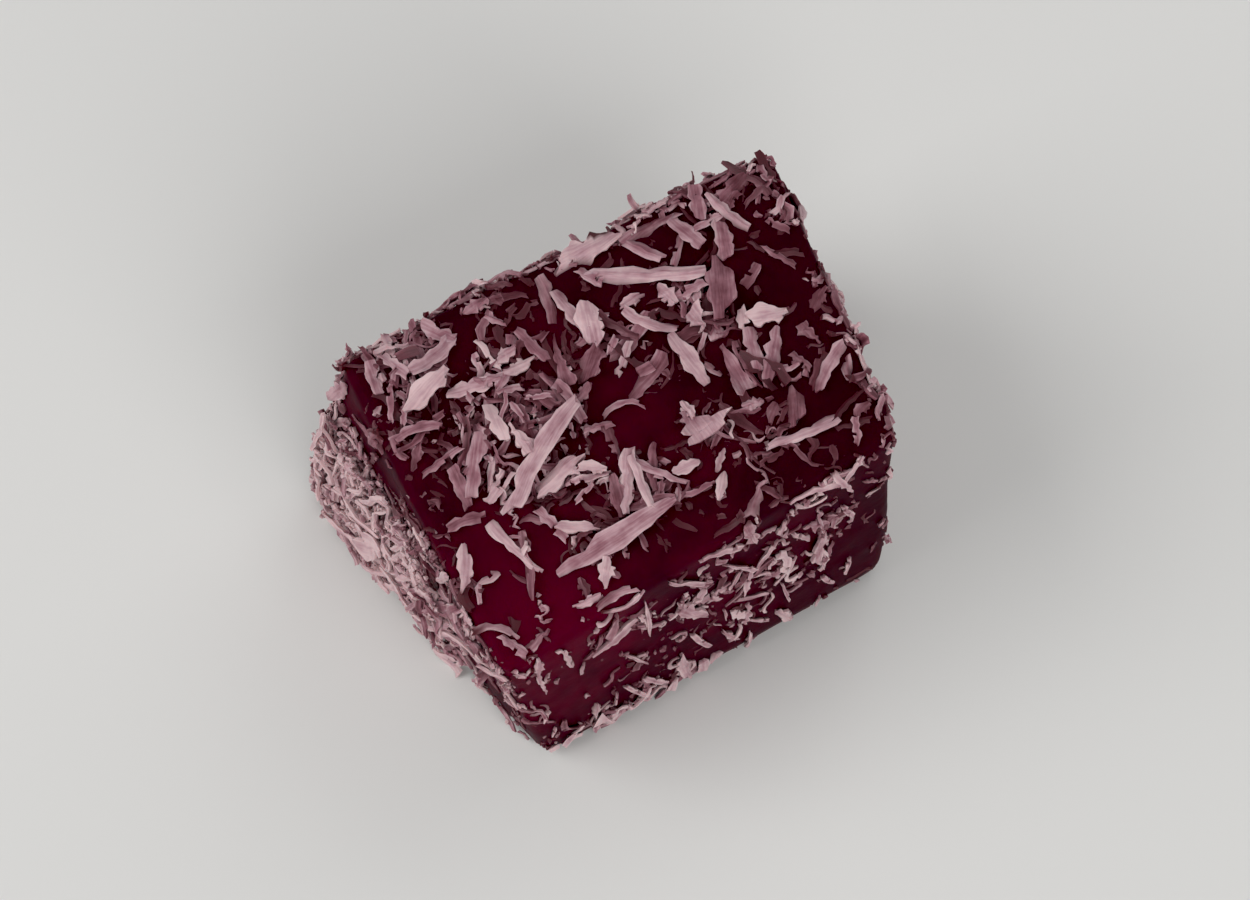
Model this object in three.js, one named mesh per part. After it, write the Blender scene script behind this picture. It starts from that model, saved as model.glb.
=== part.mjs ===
// One cube of pomegranate jelly candy: a soft starch jelly, cut with a knife from a poured slab
// and rolled in desiccated coconut. The solid is the candy out to the middle of its coconut coat.
// Units are millimetres, +Z is up, and the origin is in the middle of the flat base.
import * as THREE from "three";
import { mergeVertices } from "three/addons/utils/BufferGeometryUtils.js";

// Size of the piece, coat included, half way up
const WIDTH = 33.1; // X, between two knife cuts
const DEPTH = 25.7; // Y, between the other two cuts
const THICKNESS = 22.2; // Z, as deep as the slab was poured

// Rounding of the edges, which the knife left crisp
const EDGE_RADIUS = 0.9;
const FOOT_RADIUS = 0.6;

// Share of EDGE_RADIUS by which each upright corner is worn back, counter-clockwise from +X +Y
const CORNER_WEAR = [0.9, 0.5, 0.4, 0.35];
const CORNER_SHARE = 8; // power that keeps the wear close to the corners

// The knife didn't cut quite upright or square. For each cut: how far its top leans out past its
// base, how much more it leans at its +X or +Y end than in its middle, and how far that end drifts
const CUTS = {
  right: { lean: 1.1, twist: 0.3, drift: 1.6 },
  left: { lean: 0.9, twist: -2.7, drift: 0.6 },
  back: { lean: -1.3, twist: 0.6, drift: -0.75 },
  front: { lean: 0.1, twist: -0.1, drift: -0.33 },
};

// Soft jelly under its own weight
const SAG = 0.3; // bulge of the sides, greatest low down
const SAG_HEIGHT = 0.28; // height of the fullest place, as a share of the thickness
const SAG_SPREAD = 0.3;
const HOLLOW = 0.25; // dip in the middle of each cut
const CROWN = 0.3; // dip in the middle of the slab's skin
const RISE = { x: 0.7, y: 0.8 }; // of the skin, from the left cut to the right, and front to back
const DROOP = 2.8; // of the skin's front left corner, which the knife dragged down
const DROOP_REACH = { x: 14, y: 12 };
const DROOP_SHARE = 2; // power of the height that it fades with
const SKIN_SHARE = 4; // power of the height that the dip and the rise fade with, down to the base

// Relief on the surface
const RIPPLE = 0.05; // marks of the knife, which run from top to base
const RIPPLE_LENGTH = 5.2;
const LUMPS = 0.1; // uneven thickness of the coat
const LUMP_LENGTH = 7.5;
const LUMP_FREE = 4; // the relief fades out over the lowest 1 / LUMP_FREE of the thickness
const WAVES = [
  { slant: new THREE.Vector3(0.91, 0.32, -0.2), start: 0.6 },
  { slant: new THREE.Vector3(0.3, -1.14, 0.64), start: 2.1 },
  { slant: new THREE.Vector3(-0.33, 0.28, 0.63), start: 4.4 },
];

// Powers that keep a shape in its place
const EDGE_SHARE = 3; // a side's shape off the sides next to it
const MIDDLE_SHARE = 1.5; // a dip in the middle of its side

// Fineness of the mesh, in steps along each side
const ARC_STEPS = 3; // from the start of a rounded edge to its middle
const FLAT_STEPS = 15; // across the flat between two rounded edges
const STEPS = FLAT_STEPS + 2 * ARC_STEPS;

const HALF = new THREE.Vector3(WIDTH / 2, DEPTH / 2, THICKNESS / 2);

// Where line number `line` of the grid lies along an axis: `flat` is the place on the flat
// from -1 to 1, and `turn` how far it has gone round the edge, from -1 to 1 at the edge's middle.
function gridPlace(line) {
  const past = line - ARC_STEPS;
  return {
    flat: THREE.MathUtils.clamp((2 * past) / FLAT_STEPS - 1, -1, 1),
    turn: (Math.min(past, 0) + Math.max(past - FLAT_STEPS, 0)) / ARC_STEPS,
  };
}

// A point of the block with rounded edges, from its grid lines along X, Y and Z.
// One of the three is the first or the last line, and names the face.
function roundedPoint(lines) {
  const places = lines.map(gridPlace);
  const radius = THREE.MathUtils.lerp(FOOT_RADIUS, EDGE_RADIUS, lines[2] / STEPS);
  const half = HALF.toArray();
  const centre = places.map((place, axis) => place.flat * (half[axis] - radius));
  const outward = places.map((place) => Math.tan((place.turn * Math.PI) / 4));
  const direction = new THREE.Vector3(...outward).normalize();
  return new THREE.Vector3(...centre).addScaledVector(direction, radius);
}

// 1 in the middle of a side, falling smoothly to 0 at its edges
function middling(share) {
  return Math.max(0, 1 - share * share) ** MIDDLE_SHARE;
}

// Smooth uneven relief, from slanting waves of unlike length
function lump(point) {
  const turn = (wave) => (2 * Math.PI * wave.slant.dot(point)) / LUMP_LENGTH + wave.start;
  return WAVES.reduce((sum, wave) => sum + Math.sin(turn(wave)), 0) / WAVES.length;
}

// How far a point moves along X or Y because of the cut on its side of the block.
// `across` runs from -1 to 1 between this cut and the one opposite, `along` from -1 to 1 along
// the cut, which is `length` long, and `up` from 0 at the base to 1 at the top.
function cutShift(across, along, up, length, names) {
  const outward = Math.sign(across);
  const cut = CUTS[across > 0 ? names[1] : names[0]];
  const lean = (cut.lean + cut.twist * along) * (up - 0.5);
  const sag = SAG * Math.exp(-(((up - SAG_HEIGHT) / SAG_SPREAD) ** 2));
  const hollow = HOLLOW * middling(along) * middling(2 * up - 1);
  const ripple = RIPPLE * Math.sin((Math.PI * along * length) / RIPPLE_LENGTH + outward);
  const reach = Math.abs(across) ** EDGE_SHARE * outward;
  return reach * (lean + cut.drift * along + sag - hollow + ripple);
}

// How far a point moves along Z with the skin of the slab: `across` runs from -1 to 1 along X,
// `along` from -1 to 1 along Y, and `up` from 0 at the base to 1 at the top.
function skinShift(across, along, up) {
  const rise = (RISE.x * across + RISE.y * along) / 2;
  const dip = CROWN * middling(across) * middling(along);
  const away = Math.hypot(
    ((1 + across) * HALF.x) / DROOP_REACH.x,
    ((1 + along) * HALF.y) / DROOP_REACH.y,
  );
  return (rise - dip) * up ** SKIN_SHARE - DROOP * Math.exp(-away * away) * up ** DROOP_SHARE;
}

// The upright corners are worn back towards the axis
function wearCorner(point) {
  const order = point.y > 0 ? Number(point.x < 0) : 2 + Number(point.x > 0);
  const nearness = Math.abs((point.x / HALF.x) * (point.y / HALF.y)) ** CORNER_SHARE;
  const back = 1 - (CORNER_WEAR[order] * EDGE_RADIUS * nearness) / Math.hypot(HALF.x, HALF.y);
  point.x *= back;
  point.y *= back;
}

// The rounded block becomes the real piece. The base stays one flat.
function shapePoint(point) {
  const across = point.x / HALF.x;
  const along = point.y / HALF.y;
  const up = (point.z + HALF.z) / THICKNESS;
  const free = Math.min(1, up * LUMP_FREE);
  const relief = LUMPS * lump(point) * free;
  const sides = [across, along, (2 * up - 1) * free].map((share) => share ** EDGE_SHARE);
  wearCorner(point);
  point.x += cutShift(across, along, up, DEPTH, ["left", "right"]);
  point.y += cutShift(along, across, up, WIDTH, ["front", "back"]);
  point.z += skinShift(across, along, up);
  point.addScaledVector(new THREE.Vector3(...sides), relief);
}

// The six faces of a box grid, moved point by point into the shape of the candy, and
// centred over the origin with its base on the ground.
function candyGeometry() {
  const grid = new THREE.BoxGeometry(STEPS, STEPS, STEPS, STEPS, STEPS, STEPS);
  grid.deleteAttribute("normal");
  grid.deleteAttribute("uv");
  const candy = mergeVertices(grid, 1e-3);
  const places = candy.getAttribute("position");
  for (let i = 0; i < places.count; i += 1) {
    const lines = [places.getX(i), places.getY(i), places.getZ(i)];
    const point = roundedPoint(lines.map((c) => Math.round(c + STEPS / 2)));
    shapePoint(point);
    places.setXYZ(i, point.x, point.y, point.z);
  }
  candy.computeBoundingBox();
  const box = candy.boundingBox;
  const middle = box.getCenter(new THREE.Vector3());
  candy.translate(-middle.x, -middle.y, -box.min.z);
  candy.computeVertexNormals();
  return candy;
}

const jellyFinish = new THREE.MeshStandardMaterial({
  color: 0x5a0716,
  roughness: 0.35,
  metalness: 0,
});

const jelly = new THREE.Mesh(candyGeometry(), jellyFinish);
jelly.name = "jelly_cube";

const candy = new THREE.Group();
candy.add(jelly);

export default candy;
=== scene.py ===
"""A cube of pomegranate jelly candy, rolled in desiccated coconut.

The jelly is taken in from the fixed solid by half of its coat. The coconut is modelled as a few
shreds of each outline. They are copied, curved one by one, laid over each other on the sides and
edges, and joined into one piece for each kind.
"""

import logging
import math
from collections.abc import Callable, Iterable
from dataclasses import dataclass, field, replace
from enum import Enum

import bmesh
import bpy
import numpy as np
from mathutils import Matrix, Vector, noise
from mathutils.bvhtree import BVHTree


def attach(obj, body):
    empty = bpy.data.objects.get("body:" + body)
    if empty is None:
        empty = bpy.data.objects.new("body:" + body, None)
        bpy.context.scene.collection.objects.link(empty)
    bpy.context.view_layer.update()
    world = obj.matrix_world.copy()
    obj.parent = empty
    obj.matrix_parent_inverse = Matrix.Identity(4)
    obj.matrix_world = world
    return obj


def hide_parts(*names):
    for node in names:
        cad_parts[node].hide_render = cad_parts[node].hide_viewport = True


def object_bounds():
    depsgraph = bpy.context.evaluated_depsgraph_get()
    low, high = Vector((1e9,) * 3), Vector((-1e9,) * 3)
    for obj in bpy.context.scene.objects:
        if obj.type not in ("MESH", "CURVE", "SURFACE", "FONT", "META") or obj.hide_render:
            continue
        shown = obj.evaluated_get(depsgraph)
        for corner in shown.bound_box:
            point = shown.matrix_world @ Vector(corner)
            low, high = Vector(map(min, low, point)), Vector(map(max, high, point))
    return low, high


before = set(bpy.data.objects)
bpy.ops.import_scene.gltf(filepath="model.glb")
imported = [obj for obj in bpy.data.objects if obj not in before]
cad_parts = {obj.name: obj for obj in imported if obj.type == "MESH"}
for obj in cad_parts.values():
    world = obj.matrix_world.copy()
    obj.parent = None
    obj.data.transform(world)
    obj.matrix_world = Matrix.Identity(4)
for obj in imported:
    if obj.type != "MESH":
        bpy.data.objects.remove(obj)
CAD_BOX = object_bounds()

Array = np.ndarray
Point = tuple[float, float, float]
Limits = tuple[float, float]
MM = 0.001
SOLID = "jelly_cube"
BODY = "root"
# A shred curves at least this much, in radians, so that its curve has a radius
LEAST_BOW = 0.02
# What each point of a shred carries: its stain, its height above the jelly in mm and how near it
# is to the rim, and its place along and across the shred in mm
COAT_ATTRIBUTE = "coat"
GRAIN_MAP = "grain"
log = logging.getLogger("candy")


def linear(colour: str) -> tuple[float, float, float, float]:
    """Turns a colour as sRGB hex into linear light.

    Args:
        colour: Six hex digits.

    Returns:
        Linear red, green and blue, and full alpha.
    """
    shares = [int(colour[i : i + 2], 16) / 255 for i in (0, 2, 4)]
    red, green, blue = (s / 12.92 if s <= 0.04045 else ((s + 0.055) / 1.055) ** 2.4 for s in shares)
    return red, green, blue, 1.0


def per_metre(size_mm: float) -> float:
    """The scale of a pattern on Object coordinates whose features are `size_mm` apart."""
    return 1 / (size_mm * MM)


def add_node(
    tree: bpy.types.NodeTree,
    kind: str,
    inputs: dict[str | int, object] | None = None,
    stops: Iterable[tuple[float, str]] = (),
    **settings: object,
) -> bpy.types.Node:
    """Adds a node with its settings, values and links.

    Args:
        tree: The material's nodes.
        kind: The node's type.
        inputs: A value, or a socket to link from, for each input by name or number.
        stops: The places and hex colours of a colour ramp.
        settings: The node's own properties.

    Returns:
        The new node.
    """
    node = tree.nodes.new(kind)
    for name, value in settings.items():
        setattr(node, name, value)
    for name, value in (inputs or {}).items():
        if isinstance(value, bpy.types.NodeSocket):
            tree.links.new(value, node.inputs[name])
        else:
            node.inputs[name].default_value = value
    for number, (place, colour) in enumerate(stops):
        ramp = node.color_ramp.elements
        stop = ramp[number] if number < 2 else ramp.new(place)
        stop.position = place
        stop.color = linear(colour)
    return node


def new_material(name: str) -> tuple[bpy.types.Material, bpy.types.NodeTree]:
    """A material with no nodes yet, and its tree."""
    material = bpy.data.materials.new(name)
    material.use_nodes = True
    material.node_tree.nodes.clear()
    return material, material.node_tree


def dress(piece: bpy.types.Object, material: bpy.types.Material) -> None:
    """Gives a piece its one material."""
    piece.data.materials.clear()
    piece.data.materials.append(material)


def select_only(piece: bpy.types.Object) -> None:
    """Deselects everything and makes one piece the active and only selected one."""
    bpy.ops.object.select_all(action="DESELECT")
    piece.select_set(True)
    bpy.context.view_layer.objects.active = piece


def apply_modifier(piece: bpy.types.Object, kind: str, **settings: object) -> None:
    """Adds a modifier to a piece with its settings, and applies it.

    Args:
        piece: The piece.
        kind: The modifier's type.
        settings: The modifier's properties.
    """
    select_only(piece)
    bpy.ops.object.modifier_add(type=kind)
    modifier = piece.modifiers[-1]
    for name, value in settings.items():
        setattr(modifier, name, value)
    bpy.ops.object.modifier_apply(modifier=modifier.name)


@dataclass(frozen=True)
class JellyFinish:
    """Starch jelly boiled down with pomegranate juice, poured as a slab and cut with a knife.

    It is moist, so it has a soft gloss. Light goes a little way into it and comes out a deep
    clear red. A brighter red is painted on the front corner of the top, a painted glow, and a red
    that is almost black far from there, a painted shade.

    The glow's colour on that corner and the shade's colour far from it each have limits, two
    distances from the corner, and shares, how much of it is mixed in at these.
    """

    deep: str = "350516"
    clear: str = "50071E"
    cloud_mm: float = 6.0
    cloud_limits: Limits = (0.38, 0.66)
    # Painted glow: the brighter red painted on the front corner of the top, as if lit through
    thin: str = "5A0822"
    painted_glow_at_mm: Point = (-13.0, -10.5, 17.5)
    painted_glow_mm: Limits = (0.0, 10.0)
    painted_glow_shares: Limits = (0.9, 0.0)
    # Painted shade: the near black red painted on the jelly far from the front corner of the top
    far: str = "2B0412"
    painted_shade_mm: Limits = (8.0, 26.0)
    painted_shade_shares: Limits = (0.0, 0.7)
    smear_mm: float = 3.0
    smear_limits: Limits = (0.35, 0.7)
    roughness: Limits = (0.38, 0.52)
    streak_mm: float = 1.0
    streak_stretch: float = 0.12
    streak_depth_mm: float = 0.15
    pore_mm: float = 0.5
    pore_depth_mm: float = 0.08
    sheen: float = 0.02
    light_reach_mm: float = 1.6

    def material(self) -> bpy.types.Material:
        """Makes the jelly's material.

        Returns:
            The material.
        """
        material, tree = new_material("pomegranate_starch_jelly")
        place = add_node(tree, "ShaderNodeTexCoord").outputs["Object"]
        # The juice isn't evenly boiled down, which gives faint clouds of clearer red
        clouds = add_node(
            tree,
            "ShaderNodeTexNoise",
            {"Vector": place, "Scale": per_metre(self.cloud_mm), "Detail": 3.0, "Roughness": 0.6},
        )
        colour = add_node(
            tree,
            "ShaderNodeValToRGB",
            {"Fac": clouds.outputs["Fac"]},
            stops=zip(self.cloud_limits, (self.deep, self.clear)),
        ).outputs["Color"]
        # Painted light: the front corner of the top is painted a brighter red, a painted glow, and
        # the jelly is painted darker the farther it is from there, a painted shade
        away = add_node(
            tree,
            "ShaderNodeVectorMath",
            {0: place, 1: tuple(c * MM for c in self.painted_glow_at_mm)},
            operation="DISTANCE",
        )
        # The painted shade far from the corner is mixed in first, then the painted glow on top of it
        for tint, reach, shares, fading in (
            (self.far, self.painted_shade_mm, self.painted_shade_shares, "LINEAR"),
            (self.thin, self.painted_glow_mm, self.painted_glow_shares, "SMOOTHSTEP"),
        ):
            share = add_node(
                tree,
                "ShaderNodeMapRange",
                {
                    "Value": away.outputs["Value"],
                    "From Min": reach[0] * MM,
                    "From Max": reach[1] * MM,
                    "To Min": shares[0],
                    "To Max": shares[1],
                },
                interpolation_type=fading,
            )
            colour = add_node(
                tree,
                "ShaderNodeMix",
                {0: share.outputs["Result"], 6: colour, 7: linear(tint)},
                data_type="RGBA",
            ).outputs[2]
        # Smears of juice and coconut fat, glossy in one place and dull in the next
        smears = add_node(
            tree,
            "ShaderNodeTexNoise",
            {"Vector": place, "Scale": per_metre(self.smear_mm), "Detail": 4.0, "Distortion": 0.6},
        )
        gloss = add_node(
            tree,
            "ShaderNodeMapRange",
            {
                "Value": smears.outputs["Fac"],
                "From Min": self.smear_limits[0],
                "From Max": self.smear_limits[1],
                "To Min": self.roughness[0],
                "To Max": self.roughness[1],
            },
        )
        # The knife dragged the soft jelly down, which leaves fine streaks from top to base
        drawn_out = add_node(
            tree,
            "ShaderNodeMapping",
            {"Vector": place, "Scale": (1.0, 1.0, self.streak_stretch)},
        )
        streaks = add_node(
            tree,
            "ShaderNodeTexNoise",
            {"Vector": drawn_out.outputs[0], "Scale": per_metre(self.streak_mm), "Detail": 2.0},
        )
        # Pores and starch grains, drawn twice as coarse as they are so that they show
        pores = add_node(
            tree,
            "ShaderNodeTexNoise",
            {"Vector": place, "Scale": per_metre(self.pore_mm), "Detail": 3.0, "Roughness": 0.65},
        )
        streak_bump = add_node(
            tree,
            "ShaderNodeBump",
            {
                "Height": streaks.outputs["Fac"],
                "Strength": 0.12,
                "Distance": self.streak_depth_mm * MM,
            },
        )
        bump = add_node(
            tree,
            "ShaderNodeBump",
            {
                "Height": pores.outputs["Fac"],
                "Strength": 0.3,
                "Distance": self.pore_depth_mm * MM,
                "Normal": streak_bump.outputs[0],
            },
        )
        shader = add_node(
            tree,
            "ShaderNodeBsdfPrincipled",
            {
                "Base Color": colour,
                "Roughness": gloss.outputs["Result"],
                "Normal": bump.outputs[0],
                "IOR": 1.42,
                "Specular IOR Level": self.sheen,
                "Subsurface Weight": 0.5,
                "Subsurface Radius": (1.0, 0.12, 0.1),
                "Subsurface Scale": self.light_reach_mm * MM,
            },
        )
        add_node(tree, "ShaderNodeOutputMaterial", {"Surface": shader.outputs[0]})
        return material


@dataclass(frozen=True)
class CoconutFinish:
    """Desiccated coconut, grated and then stained by the juice it was rolled in.

    Each shred is matt with fine fibres along it. The driest are pale pink, the moister ones go
    through mauve to wine red, and what is pressed into the jelly or lies close to it is dark red:
    partly juice soaked in, partly painted shade, the dim red light that reaches it from the jelly.
    Light goes a little way into them, which softens thin edges.

    `mottle`, `streaks` and the amount for the paler rim are how far each of these shifts the
    stain in all, and their limits are the values of the pattern between which it does so. The
    paler rim along each shred's edge is a painted highlight.
    """

    stains: tuple[tuple[float, str], ...] = (
        (0.0, "D5B6B8"),
        (0.25, "B89299"),
        (0.5, "91606B"),
        (0.75, "64313C"),
        (1.0, "460F1B"),
    )
    # Partly soaked juice and partly painted shade: the dark red of what lies close to the jelly
    soaked_and_shaded: str = "4A0816"
    soaked_and_shaded_mm: Limits = (-0.05, 0.3)
    mottle: float = 0.75
    mottle_mm: float = 1.5
    streaks: float = 0.2
    streak_limits: Limits = (0.3, 0.7)
    # Painted highlight: how much paler the rim of each shred is painted than its middle
    pale_rim_highlight: float = 0.22
    pale_rim_highlight_limits: Limits = (0.35, 1.0)
    fibre_mm: float = 0.16
    fibre_stretch: float = 0.1
    fibre_depth_mm: float = 0.08
    light_reach_mm: float = 0.3

    def material(self) -> bpy.types.Material:
        """Makes the coconut's material.

        Returns:
            The material.
        """
        material, tree = new_material("desiccated_coconut")
        place = add_node(tree, "ShaderNodeTexCoord").outputs["Object"]
        coat = add_node(tree, "ShaderNodeAttribute", attribute_name=COAT_ATTRIBUTE)
        shares = add_node(tree, "ShaderNodeSeparateColor", {"Color": coat.outputs["Color"]})
        mottle = add_node(
            tree,
            "ShaderNodeTexNoise",
            {"Vector": place, "Scale": per_metre(self.mottle_mm), "Detail": 3.0},
        )
        # Fibres that run along each shred
        along = add_node(tree, "ShaderNodeUVMap", uv_map=GRAIN_MAP)
        drawn_out = add_node(
            tree,
            "ShaderNodeMapping",
            {"Vector": along.outputs[0], "Scale": (self.fibre_stretch, 1.0, 1.0)},
        )
        fibres = add_node(
            tree,
            "ShaderNodeTexNoise",
            {"Vector": drawn_out.outputs[0], "Scale": 1 / self.fibre_mm, "Detail": 2.0},
        )
        # Juice has run unevenly into each shred and some of its fibres are drier than others. Its rim
        # is painted paler than its middle, a painted highlight along its edges
        stain = shares.outputs["Red"]
        for value, limits, swing in (
            (mottle.outputs["Fac"], (0.0, 1.0), self.mottle),
            (fibres.outputs["Fac"], self.streak_limits, self.streaks),
            (shares.outputs["Blue"], self.pale_rim_highlight_limits, -self.pale_rim_highlight),
        ):
            shift = add_node(
                tree,
                "ShaderNodeMapRange",
                {
                    "Value": value,
                    "From Min": limits[0],
                    "From Max": limits[1],
                    "To Min": -swing / 2,
                    "To Max": swing / 2,
                },
            )
            stain = add_node(
                tree, "ShaderNodeMath", {0: shift.outputs["Result"], 1: stain}, operation="ADD"
            ).outputs[0]
        dry = add_node(tree, "ShaderNodeValToRGB", {"Fac": stain}, stops=self.stains)
        # What lies close to the jelly has soaked up the most juice. It is also painted dark red, a
        # painted shade for the dim red light that reaches it from the jelly under it
        low = add_node(
            tree,
            "ShaderNodeMapRange",
            {
                "Value": shares.outputs["Green"],
                "From Min": self.soaked_and_shaded_mm[0],
                "From Max": self.soaked_and_shaded_mm[1],
            },
        )
        colour = add_node(
            tree,
            "ShaderNodeMix",
            {0: low.outputs["Result"], 6: linear(self.soaked_and_shaded), 7: dry.outputs["Color"]},
            data_type="RGBA",
        )
        bump = add_node(
            tree,
            "ShaderNodeBump",
            {
                "Height": fibres.outputs["Fac"],
                "Strength": 0.4,
                "Distance": self.fibre_depth_mm * MM,
            },
        )
        shader = add_node(
            tree,
            "ShaderNodeBsdfPrincipled",
            {
                "Base Color": colour.outputs[2],
                "Roughness": 0.55,
                "Normal": bump.outputs[0],
                "IOR": 1.45,
                "Subsurface Weight": 0.3,
                "Subsurface Radius": (1.0, 0.6, 0.55),
                "Subsurface Scale": self.light_reach_mm * MM,
            },
        )
        add_node(tree, "ShaderNodeOutputMaterial", {"Surface": shader.outputs[0]})
        return material


@dataclass(frozen=True)
class FloorFinish:
    """Smooth matt board, pale and even, which throws soft light back at the candy's sides."""

    board: str = "DFDEDB"

    def material(self) -> bpy.types.Material:
        """Makes the floor's material.

        Returns:
            The material.
        """
        material, tree = new_material("matt_board")
        shader = add_node(
            tree,
            "ShaderNodeBsdfPrincipled",
            {"Base Color": linear(self.board), "Roughness": 0.6, "Specular IOR Level": 0.3},
        )
        add_node(tree, "ShaderNodeOutputMaterial", {"Surface": shader.outputs[0]})
        return material


@dataclass
class Jelly:
    """The block of jelly inside the coat.

    `taken_in_mm` is half of the coat. The surface is divided into cells of `cell_mm`, and
    `wear_steps` passes of smoothing wear its edges. What lies less than `foot_reach_mm` above the
    lowest point is drawn to `foot_mm` above the ground, all the way at the lowest point and less
    and less above it, by `foot_fade_mm`.
    """

    merge_mm: float = 0.001
    taken_in_mm: float = 0.4
    cell_mm: float = 0.3
    wear: float = 0.5
    wear_steps: int = 36
    dimple_mm: float = 2.6
    dimple_depth_mm: float = 0.16
    foot_mm: float = 0.15
    foot_reach_mm: float = 0.5
    foot_fade_mm: float = 1.0

    def build(self) -> bpy.types.Object:
        """Models the block and dresses it.

        Returns:
            The piece.
        """
        block = self.copy_solid()
        self.take_in(block)
        apply_modifier(block, "SUBSURF", levels=1, render_levels=1)
        apply_modifier(block, "REMESH", mode="VOXEL", voxel_size=self.cell_mm * MM)
        apply_modifier(block, "SMOOTH", factor=self.wear, iterations=self.wear_steps)
        self.dimple(block)
        self.flatten_foot(block)
        select_only(block)
        bpy.ops.object.shade_smooth()
        dress(block, JellyFinish().material())
        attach(block, BODY)
        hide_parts(SOLID)
        return block

    def copy_solid(self) -> bpy.types.Object:
        """Copies the fixed solid and merges its loose triangles into a closed quad mesh.

        Returns:
            The copy.
        """
        select_only(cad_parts[SOLID])
        bpy.ops.object.duplicate()
        block = bpy.context.active_object
        block.name = "jelly_block"
        block.parent = None
        bpy.ops.object.mode_set(mode="EDIT")
        bpy.ops.mesh.select_all(action="SELECT")
        bpy.ops.mesh.remove_doubles(threshold=self.merge_mm * MM)
        bpy.ops.mesh.tris_convert_to_quads(face_threshold=math.pi, shape_threshold=math.pi)
        bpy.ops.object.mode_set(mode="OBJECT")
        return block

    def take_in(self, block: bpy.types.Object) -> None:
        """Draws the surface in, so that the coat fills out to the fixed solid.

        Args:
            block: The copy of the solid.
        """
        select_only(block)
        bpy.ops.object.mode_set(mode="EDIT")
        bpy.ops.mesh.select_all(action="SELECT")
        bpy.ops.transform.shrink_fatten(value=-self.taken_in_mm * MM, use_even_offset=True)
        bpy.ops.object.mode_set(mode="OBJECT")

    def dimple(self, block: bpy.types.Object) -> None:
        """Presses shallow dimples into the surface, where coconut was rolled into it.

        Args:
            block: The block.
        """
        texture = bpy.data.textures.new("dimples", "CLOUDS")
        texture.noise_scale = self.dimple_mm * MM
        apply_modifier(
            block, "DISPLACE", texture=texture, strength=self.dimple_depth_mm * MM, mid_level=0.5
        )
        bpy.data.textures.remove(texture)

    def flatten_foot(self, block: bpy.types.Object) -> None:
        """Sets the base flat again, just above what the candy stands on.

        Args:
            block: The block.
        """
        lowest = min(v.co.z for v in block.data.vertices)
        for vertex in block.data.vertices:
            height = vertex.co.z - lowest
            if height < self.foot_reach_mm * MM:
                share = 1 - height / (self.foot_fade_mm * MM)
                vertex.co.z += share * (self.foot_mm * MM - vertex.co.z)


class Side(Enum):
    """A side or an edge of the block: its outward direction, and its right and up from outside."""

    TOP = ((0, 0, 1), (1, 0, 0), (0, 1, 0))
    BASE = ((0, 0, -1), (1, 0, 0), (0, -1, 0))
    FRONT = ((0, -1, 0), (1, 0, 0), (0, 0, 1))
    BACK = ((0, 1, 0), (-1, 0, 0), (0, 0, 1))
    LEFT = ((-1, 0, 0), (0, -1, 0), (0, 0, 1))
    RIGHT = ((1, 0, 0), (0, 1, 0), (0, 0, 1))
    TOP_FRONT = ((0, -1, 1), (1, 0, 0), (0, 1, 1))
    TOP_BACK = ((0, 1, 1), (-1, 0, 0), (0, -1, 1))
    TOP_LEFT = ((-1, 0, 1), (0, -1, 0), (1, 0, 1))
    TOP_RIGHT = ((1, 0, 1), (0, 1, 0), (-1, 0, 1))
    FRONT_LEFT = ((-1, -1, 0), (1, -1, 0), (0, 0, 1))
    BACK_LEFT = ((-1, 1, 0), (-1, -1, 0), (0, 0, 1))
    BACK_RIGHT = ((1, 1, 0), (-1, 1, 0), (0, 0, 1))

    def axes(self) -> Array:
        """Outward, right and up, as the rows of an array."""
        rows = np.array(self.value, float)
        return rows / np.linalg.norm(rows, axis=1)[:, None]

    def ridge_axis(self) -> int | None:
        """The axis of a grid of right and up that runs across the edge, or none on a flat side."""
        out, right, _ = np.array(self.value)
        if np.count_nonzero(out) == 1:
            return None
        return 1 if np.count_nonzero(right) == 1 else 0


class Kind(Enum):
    """A kind of coconut, which is one piece. Its value is the piece's name."""

    FLAKES = "coconut_flakes"
    SLIVERS = "coconut_slivers"
    STRIPS = "coconut_strips"
    SPLINTERS = "coconut_splinters"
    THREADS = "coconut_threads"
    CRUMBS = "coconut_crumbs"


class Outline(Enum):
    """An outline that grated coconut breaks into, seen from above."""

    SLIVER = "pointed at both ends"
    STRIP = "even, with blunt ends"
    SPEAR = "a broad head and a long thin tail"
    WEDGE = "a triangle"
    FLAKE = "broad and ragged"
    FORK = "split into two prongs at one end"
    SPLINTER = "a short broken strip"
    THREAD = "a single fibre"
    CRUMB = "a broken grain"
    DUST = "a speck"

    def width_share(self, along: float) -> float:
        """The width at a place along the shred, as a share of its greatest width.

        Args:
            along: From -1 at one end to 1 at the other.

        Returns:
            The share.
        """
        end = abs(along)
        shares = {
            Outline.SLIVER: 0.06 + 0.94 * (1 - end**2.2),
            Outline.STRIP: 1 - 0.3 * end**4,
            Outline.SPEAR: 0.1 + 0.9 * ((1 - along) / 2) ** 0.8 * (1 - 0.5 * max(0.0, -along) ** 6),
            Outline.WEDGE: 0.08 + 0.92 * (1 - along) / 2,
            Outline.FLAKE: 0.45 + 0.55 * math.sqrt(max(0.0, 1 - end**3)),
            Outline.FORK: 0.4 + 0.6 * (along + 1) / 2,
            Outline.SPLINTER: 1 - 0.45 * end**3,
            Outline.THREAD: 1 - 0.5 * end**3,
            Outline.CRUMB: 0.7 + 0.3 * math.sqrt(max(0.0, 1 - end * end)),
            Outline.DUST: 1.0,
        }
        return shares[self]


SLIVER, STRIP, SPEAR, WEDGE, FLAKE, FORK, SPLINTER, THREAD, CRUMB, DUST = Outline


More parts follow.
